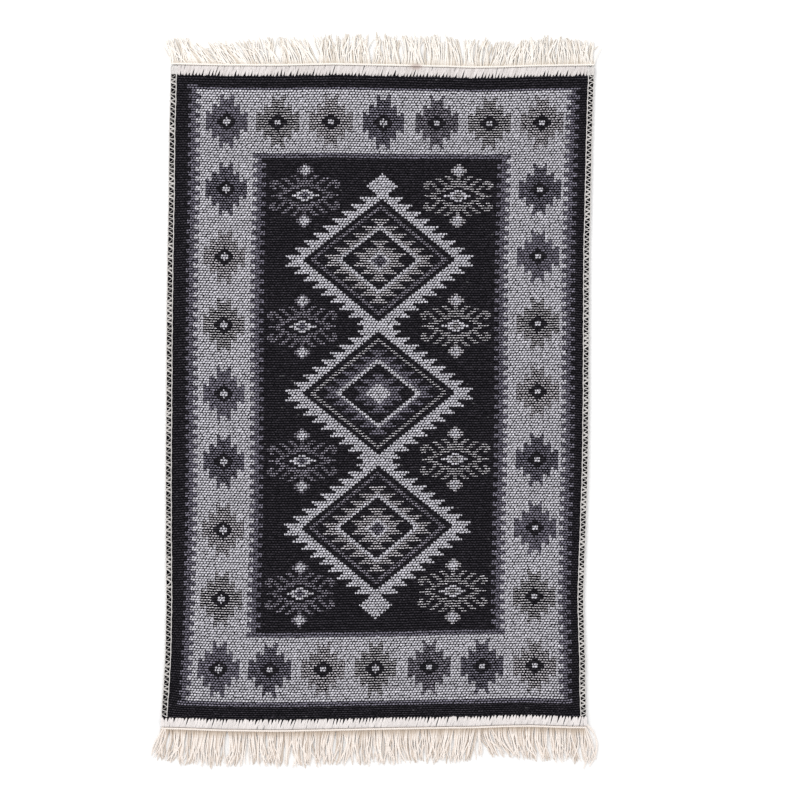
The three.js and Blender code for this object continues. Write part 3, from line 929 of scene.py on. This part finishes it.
def heading(end, name, node_name):
    low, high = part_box(node_name)
    width = high.x - low.x
    fingers = int(round(width / FINGER_PITCH))
    pitch = width / fingers
    slits = np.clip(rng.gamma(2.0, 2.3, fingers + 1), *SLIT_RANGE) * MM
    slits[rng.random(fingers + 1) < CLOSED_SHARE] = CLOSED_SLIT
    paths, radii, tones = [], [], []
    for finger in range(fingers):
        middle = low.x + (finger + 0.5) * pitch
        lean = end * (HEADING_LEAN + rng.normal(0, LEAN_SPREAD))
        lean *= min(1, (middle - low.x) / CORNER_FADE, (high.x - middle) / CORNER_FADE)
        finger_reach = rng.uniform(*FINGER_REACH) * MM
        finger_tone = rng.uniform(0.95, 1.03) * (1.0 if end == FAR else NEAR_HEADING_LIGHT_TONE)
        for thread in range(THREADS_PER_FINGER):
            share = (thread + 0.5) / THREADS_PER_FINGER * 2 - 1
            slit = slits[finger + 1] if share > 0 else slits[finger]
            rounding = TIP_ROUNDING * share**2 * min(1, slit / (2 * MM))
            tip = -finger_reach + rounding + rng.normal(0, TIP_SPREAD)
            out = np.array((tip, tip + 0.5 * MM, *(place * MM for place in STITCH_OUT)))
            up = np.array(STITCH_HEIGHTS) * MM + CLOTH_FACE
            up[1:6] += rng.normal(0, 0.08) * MM
            closing = np.clip(1 - (out - tip) / max(slit, 0.3 * MM), 0, 1)
            narrow = 1 - 0.6 * closing**0.6 * min(1, slit / (1.5 * MM))
            across = middle + share * pitch / 2 * narrow + lean * (np.minimum(out, 12 * MM) - 6 * MM)
            across += rng.normal(0, 0.06, len(out)) * MM
            along = end_edge(end, across) + end * out
            paths.append(np.stack((across, along, up), -1))
            radii.append(HEADING_RADIUS * np.array(STITCH_SWELL))
            tones.append(np.full(len(out), finger_tone * rng.uniform(0.9, 1.05)))
    piece = yarn_runs(name, paths, radii, tones, 6, heading_material)
    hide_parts(node_name)
    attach(piece, "root")
    return piece


headings = [
    heading(FAR, "far_heading_thread", "heading_far"),
    heading(NEAR, "near_heading_thread", "heading_near"),
]


# Fringes: cotton yarns 30 to 60 mm long, caught outside each heading in a two-ply corded ridge. They lie on
# the floor in leaning, waving tufts that part here and there, the lower ones in the others' shade.
HEADING_DEPTH = 12.8 * MM
RIDGE_MIDDLE = 14.7 * MM
RIDGE_RADIUS = 1.08 * MM
RIDGE_HEIGHT = 3.6 * MM
RIDGE_TURN = 6.5 * MM
RIDGE_SWING = 0.62 * MM
RIDGE_RISE = 0.75 * MM
FRINGE_ROOT = 14.6 * MM
STRAND_RADIUS = 1.02 * MM
STRAND_POINTS = 12
STRANDS = 450
FRINGE_SIDES = 5
ROOT_SPREAD = 0.25 * MM
ROOT_MARGIN = 0.8 * MM
ROOT_HEIGHT = 2.6 * MM
FLOOR_CLEARANCE = 0.02 * MM
STRAND_SPREAD = 2.6 * MM
SHORTEST_STRAND = 18 * MM
WAVE_SPREAD = 2.2 * MM
STRAY_SHARE, STRAY_SPREAD = 0.2, 7 * MM
TUFTS = 47
TUFT_LEAN = 2.2 * MM
TUFT_CURL = 2.2 * MM
TUFT_GATHER = 0.22
# Painted light: the near ridge is painted a little lighter than the far one
RIDGE_LIGHT_TONE = {FAR: 1.0, NEAR: 1.02}
# from the lowest layer of yarns to the highest, painted shade that is darkest on the lowest layer
LAYER_SHADE_TONES = (0.86, 0.95, 1.04)
LAYER_SWELL = (1.25, 1, 1)
# painted shade under the ridge, deeper at the near end: tones at the root, a tenth and a quarter of the way
# out
ROOT_SHADE_TONES = {FAR: (0.82, 0.9, 1), NEAR: (0.64, 0.76, 1)}
ROOT_SHARES = (0, 0.1, 0.24)

# millimetres: across, lean at the tip, reach outside the ridge
FAR_FRINGE = [
    (-296, -10, 33),
    (-262, -20, 35),
    (-225, -22, 33),
    (-170, -20, 36),
    (-152, -6, 37),
    (-92, -17, 39),
    (-77, -3, 38),
    (-40, 3, 40),
    (10, 0, 38),
    (60, -8, 40),
    (78, 3, 40),
    (115, -8, 39),
    (134, 5, 36),
    (160, 4, 36),
    (180, 12, 33),
    (200, 12, 34),
    (232, 1, 37),
    (255, 0, 37),
    (284, -7, 34),
    (308, 2, 31),
]
NEAR_FRINGE = [
    (-310, -9, 41),
    (-290, -6, 44),
    (-262, -7, 47),
    (-235, -2, 48),
    (-193, -6, 47),
    (-181, 8, 44),
    (-165, 7, 47),
    (-112, -10, 47),
    (-70, -4, 46),
    (-20, 0, 47),
    (22, -3, 46),
    (34, 4, 43),
    (50, 7, 44),
    (78, -2, 46),
    (134, -4, 45),
    (146, 9, 41),
    (175, 14, 43),
    (215, 10, 46),
    (245, 2, 44),
    (280, 2, 46),
    (296, 10, 48),
]

LOOSE_TONE = 1.02
# Yarns that have worked loose at the corners, in millimetres: across, outside the field, over the floor
FAR_LOOSE = [
    [(-292, 15, 3.5), (-291, 24, 2.6), (-294, 36, 2.2), (-301, 47, 1.6)],
    [(300, 15, 3.5), (303, 26, 2.6), (304, 38, 2.0), (300, 49, 1.6)],
]
NEAR_LOOSE = [
    [(-305, 13, 3.6), (-309, 22, 3), (-312, 33, 2.4), (-317, 46, 1.6)],
    [(-304, 14, 3.8), (-311, 25, 3.2), (-318, 36, 2.2), (-322, 49, 1.4)],
    [(-303, 15, 3.6), (-307, 28, 3.4), (-310, 40, 2.4), (-311, 55, 1.4)],
    [(-302, 15, 3.4), (-303, 30, 3), (-309, 43, 2.2), (-306, 58, 1.4)],
    [(294, 10, 3.8), (303, 18, 3), (309, 31, 2.2), (309, 48, 1.8), (301, 62, 1.2)],
    [(295, 13, 3.6), (305, 22, 3), (311, 38, 2.2), (308, 56, 1.8), (298, 71, 1.2)],
    [(294, 15, 3.4), (300, 27, 3), (305, 43, 2.4), (304, 55, 1.8), (296, 66, 1.2)],
    [(293, 15, 3.4), (296, 30, 3.2), (302, 45, 2.6), (297, 58, 2), (290, 74, 1.2)],
]

# Painted light and shade: one cotton in two copies, the far one painted whiter as if more lit, the near one
# warmer as if in more shade
far_fringe_cotton = cotton("far_fringe_cotton", (252, 246, 239), (240, 226, 208), 3.6 * MM, 2, 0.82)
near_fringe_cotton = cotton("near_fringe_cotton", (252, 242, 234), (240, 221, 202), 3.6 * MM, 2, 0.82)


def ridge_runs(end, start, stop):
    """The two plies of the corded ridge, wound round each other"""
    steps = int((stop - start) / RIDGE_TURN * 10)
    across = np.linspace(start + RIDGE_RADIUS, stop - RIDGE_RADIUS, steps)
    for ply in (0, 1):
        turn = 2 * math.pi * (across - start) / RIDGE_TURN + ply * math.pi
        along = end_edge(end, across) + end * (RIDGE_MIDDLE + RIDGE_SWING * np.cos(turn))
        up = RIDGE_HEIGHT + RIDGE_RISE * np.sin(turn)
        yield (across, along, up), np.full(steps, RIDGE_RADIUS), np.full(steps, RIDGE_LIGHT_TONE[end])


def strand_runs(end, table, start, stop):
    """The fringe's yarns, each with its own lean, length and wave besides those of its tuft"""
    place, lean, reach = np.array(table).T * MM
    place = place + shift_across
    share = np.linspace(0, 1, STRAND_POINTS)
    tuft_edges = np.sort(rng.uniform(start, stop, TUFTS - 1))
    tuft_lean = rng.normal(0, TUFT_LEAN, TUFTS)
    tuft_curl = rng.normal(0, TUFT_CURL, TUFTS)
    tuft_places = np.concatenate(([start], tuft_edges, [stop]))
    for strand in range(STRANDS):
        root_x = start + (strand + 0.5) / STRANDS * (stop - start) + rng.normal(0, ROOT_SPREAD)
        root_x = min(max(root_x, start + ROOT_MARGIN), stop - ROOT_MARGIN)
        tuft = int(np.searchsorted(tuft_edges, root_x))
        tuft_middle = (tuft_places[tuft] + tuft_places[tuft + 1]) / 2
        layer = rng.integers(0, 3)
        own_lean = np.interp(root_x, place, lean) + tuft_lean[tuft] + rng.normal(0, STRAND_SPREAD)
        own_lean += TUFT_GATHER * (tuft_middle - root_x)
        if rng.random() < STRAY_SHARE:
            own_lean += rng.normal(0, STRAY_SPREAD)
            layer = 2
        own_reach = np.interp(root_x, place, reach) + (rng.normal(4.5, 2.0) - rng.exponential(3.0)) * MM
        own_reach = max(own_reach, SHORTEST_STRAND)
        wave = rng.normal(0, WAVE_SPREAD)
        waves = rng.uniform(0.7, 1.6)
        phase = rng.uniform(0, 2 * math.pi)
        sideways = own_lean * share**1.35 + tuft_curl[tuft] * np.sin(math.pi * share)
        sideways += wave * share * np.sin(2 * math.pi * waves * share + phase)
        out = FRINGE_ROOT + share * own_reach * (1 - 0.5 * (own_lean / own_reach) ** 2)
        along = end_edge(end, root_x) + end * out
        rest = STRAND_RADIUS * (1.0 + 1.3 * layer)
        settle = np.exp(-share * 4.0)
        up = rest * (1 - 0.45 * share**2) + (ROOT_HEIGHT - rest) * settle + rng.normal(0, 0.12) * MM
        radius = STRAND_RADIUS * rng.uniform(0.85, 1.1) * np.interp(share, (0, 0.85, 1), (1, 0.95, 0.45))
        radius = radius * LAYER_SWELL[layer]
        up = np.maximum(up, radius + FLOOR_CLEARANCE)
        tone = LAYER_SHADE_TONES[layer] * rng.uniform(0.94, 1.04)
        yield (root_x + sideways, along, up), radius, tone * np.interp(share, ROOT_SHARES, ROOT_SHADE_TONES[end])


def loose_runs(end, loose):
    """The loose yarns, each smoothed a little between its few points"""
    share = np.linspace(0, 1, STRAND_POINTS)
    for points in loose:
        steps = share * (len(points) - 1)
        measures = np.array(points).T * MM
        across, out, up = (np.interp(steps, np.arange(len(points)), measure) for measure in measures)
        across = np.convolve(np.pad(across, 1, "edge"), (0.25, 0.5, 0.25), "valid") + shift_across
        along = end_edge(end, across) + end * out
        radius = STRAND_RADIUS * np.interp(share, (0, 0.85, 1), (0.95, 0.9, 0.45))
        yield (across, along, up), radius, np.full(STRAND_POINTS, LOOSE_TONE)


def fringe(end, table, loose, material, name, node_name):
    corner = end * (FIELD_HALF_LENGTH + HEADING_DEPTH) + shift_along
    start = side_edge(LEFT, corner) - BINDING_WIDTH
    stop = side_edge(RIGHT, corner) + BINDING_WIDTH
    runs = [*ridge_runs(end, start, stop), *strand_runs(end, table, start, stop), *loose_runs(end, loose)]
    places, radii, tones = zip(*runs)
    paths = [np.stack(place, -1) for place in places]
    piece = yarn_runs(name, paths, radii, tones, FRINGE_SIDES, material)
    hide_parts(node_name)
    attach(piece, "root")
    return piece


fringes = [
    fringe(FAR, FAR_FRINGE, FAR_LOOSE, far_fringe_cotton, "far_fringe_yarn", "fringe_far"),
    fringe(NEAR, NEAR_FRINGE, NEAR_LOOSE, near_fringe_cotton, "near_fringe_yarn", "fringe_near"),
]


# The cloth as a whole: the ground and its floats ride on the rug's one body and stand for the woven cloth,
# laid on the floor with the threads sewn to it.
for piece in [ground, *weave]:
    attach(piece, "root")
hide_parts("rug_cloth")


# Camera, floor and light: the rug lies on a plain white floor, seen from straight above through a long lens,
# under a broad soft light from the far left and an even white surround.
PHOTO_PIXELS = 800
PIXEL = 1.417 * MM
PHOTO_WIDTH = PHOTO_PIXELS * PIXEL
VIEW_MIDDLE = (30.3 * MM, -4.25 * MM)
LENS = 90
SENSOR = 36

camera_data = bpy.data.cameras.new("camera")
camera_data.lens = LENS
camera_data.sensor_width = SENSOR
camera = bpy.data.objects.new("camera", camera_data)
camera.location = (
    VIEW_MIDDLE[0] + shift_across,
    VIEW_MIDDLE[1] + shift_along,
    PHOTO_WIDTH * LENS / SENSOR + CLOTH_FACE,
)
bpy.context.scene.collection.objects.link(camera)
bpy.context.scene.camera = camera

FLOOR_HALF = 6.0
FLOOR_GAP = 0.2 * MM
FLOOR_COLOUR = (250, 250, 250)
FLOOR_CORNERS = [(-1, -1, 0), (1, -1, 0), (1, 1, 0), (-1, 1, 0)]
floor_material, floor_surface, node = shader("studio_white", 0.9)
floor_surface.inputs["Base Color"].default_value = (*linear(*FLOOR_COLOUR), 1)
floor_points = np.array(FLOOR_CORNERS) * FLOOR_HALF
floor = new_piece("studio_floor", floor_points, [(0, 1, 2, 3)], floor_material)
floor.location.z = -FLOOR_GAP

SURROUND_STRENGTH = 0.95
world = bpy.data.worlds.new("surround")
world.use_nodes = True
surround = world.node_tree.nodes["Background"].inputs
surround["Color"].default_value = (1, 1, 1, 1)
surround["Strength"].default_value = SURROUND_STRENGTH
bpy.context.scene.world = world
bpy.context.scene.view_settings.view_transform = "Standard"

LAMP_AT = (-1.3, 1.6, 2.4)
LAMP_SIZE = 1.6
LAMP_POWER = 32
lamp_data = bpy.data.lights.new("soft_light", "AREA")
lamp_data.shape = "DISK"
lamp_data.size = LAMP_SIZE
lamp_data.energy = LAMP_POWER
lamp = bpy.data.objects.new("soft_light", lamp_data)
lamp.location = LAMP_AT
lamp.rotation_euler = (-lamp.location).to_track_quat("-Z", "Y").to_euler()
bpy.context.scene.collection.objects.link(lamp)
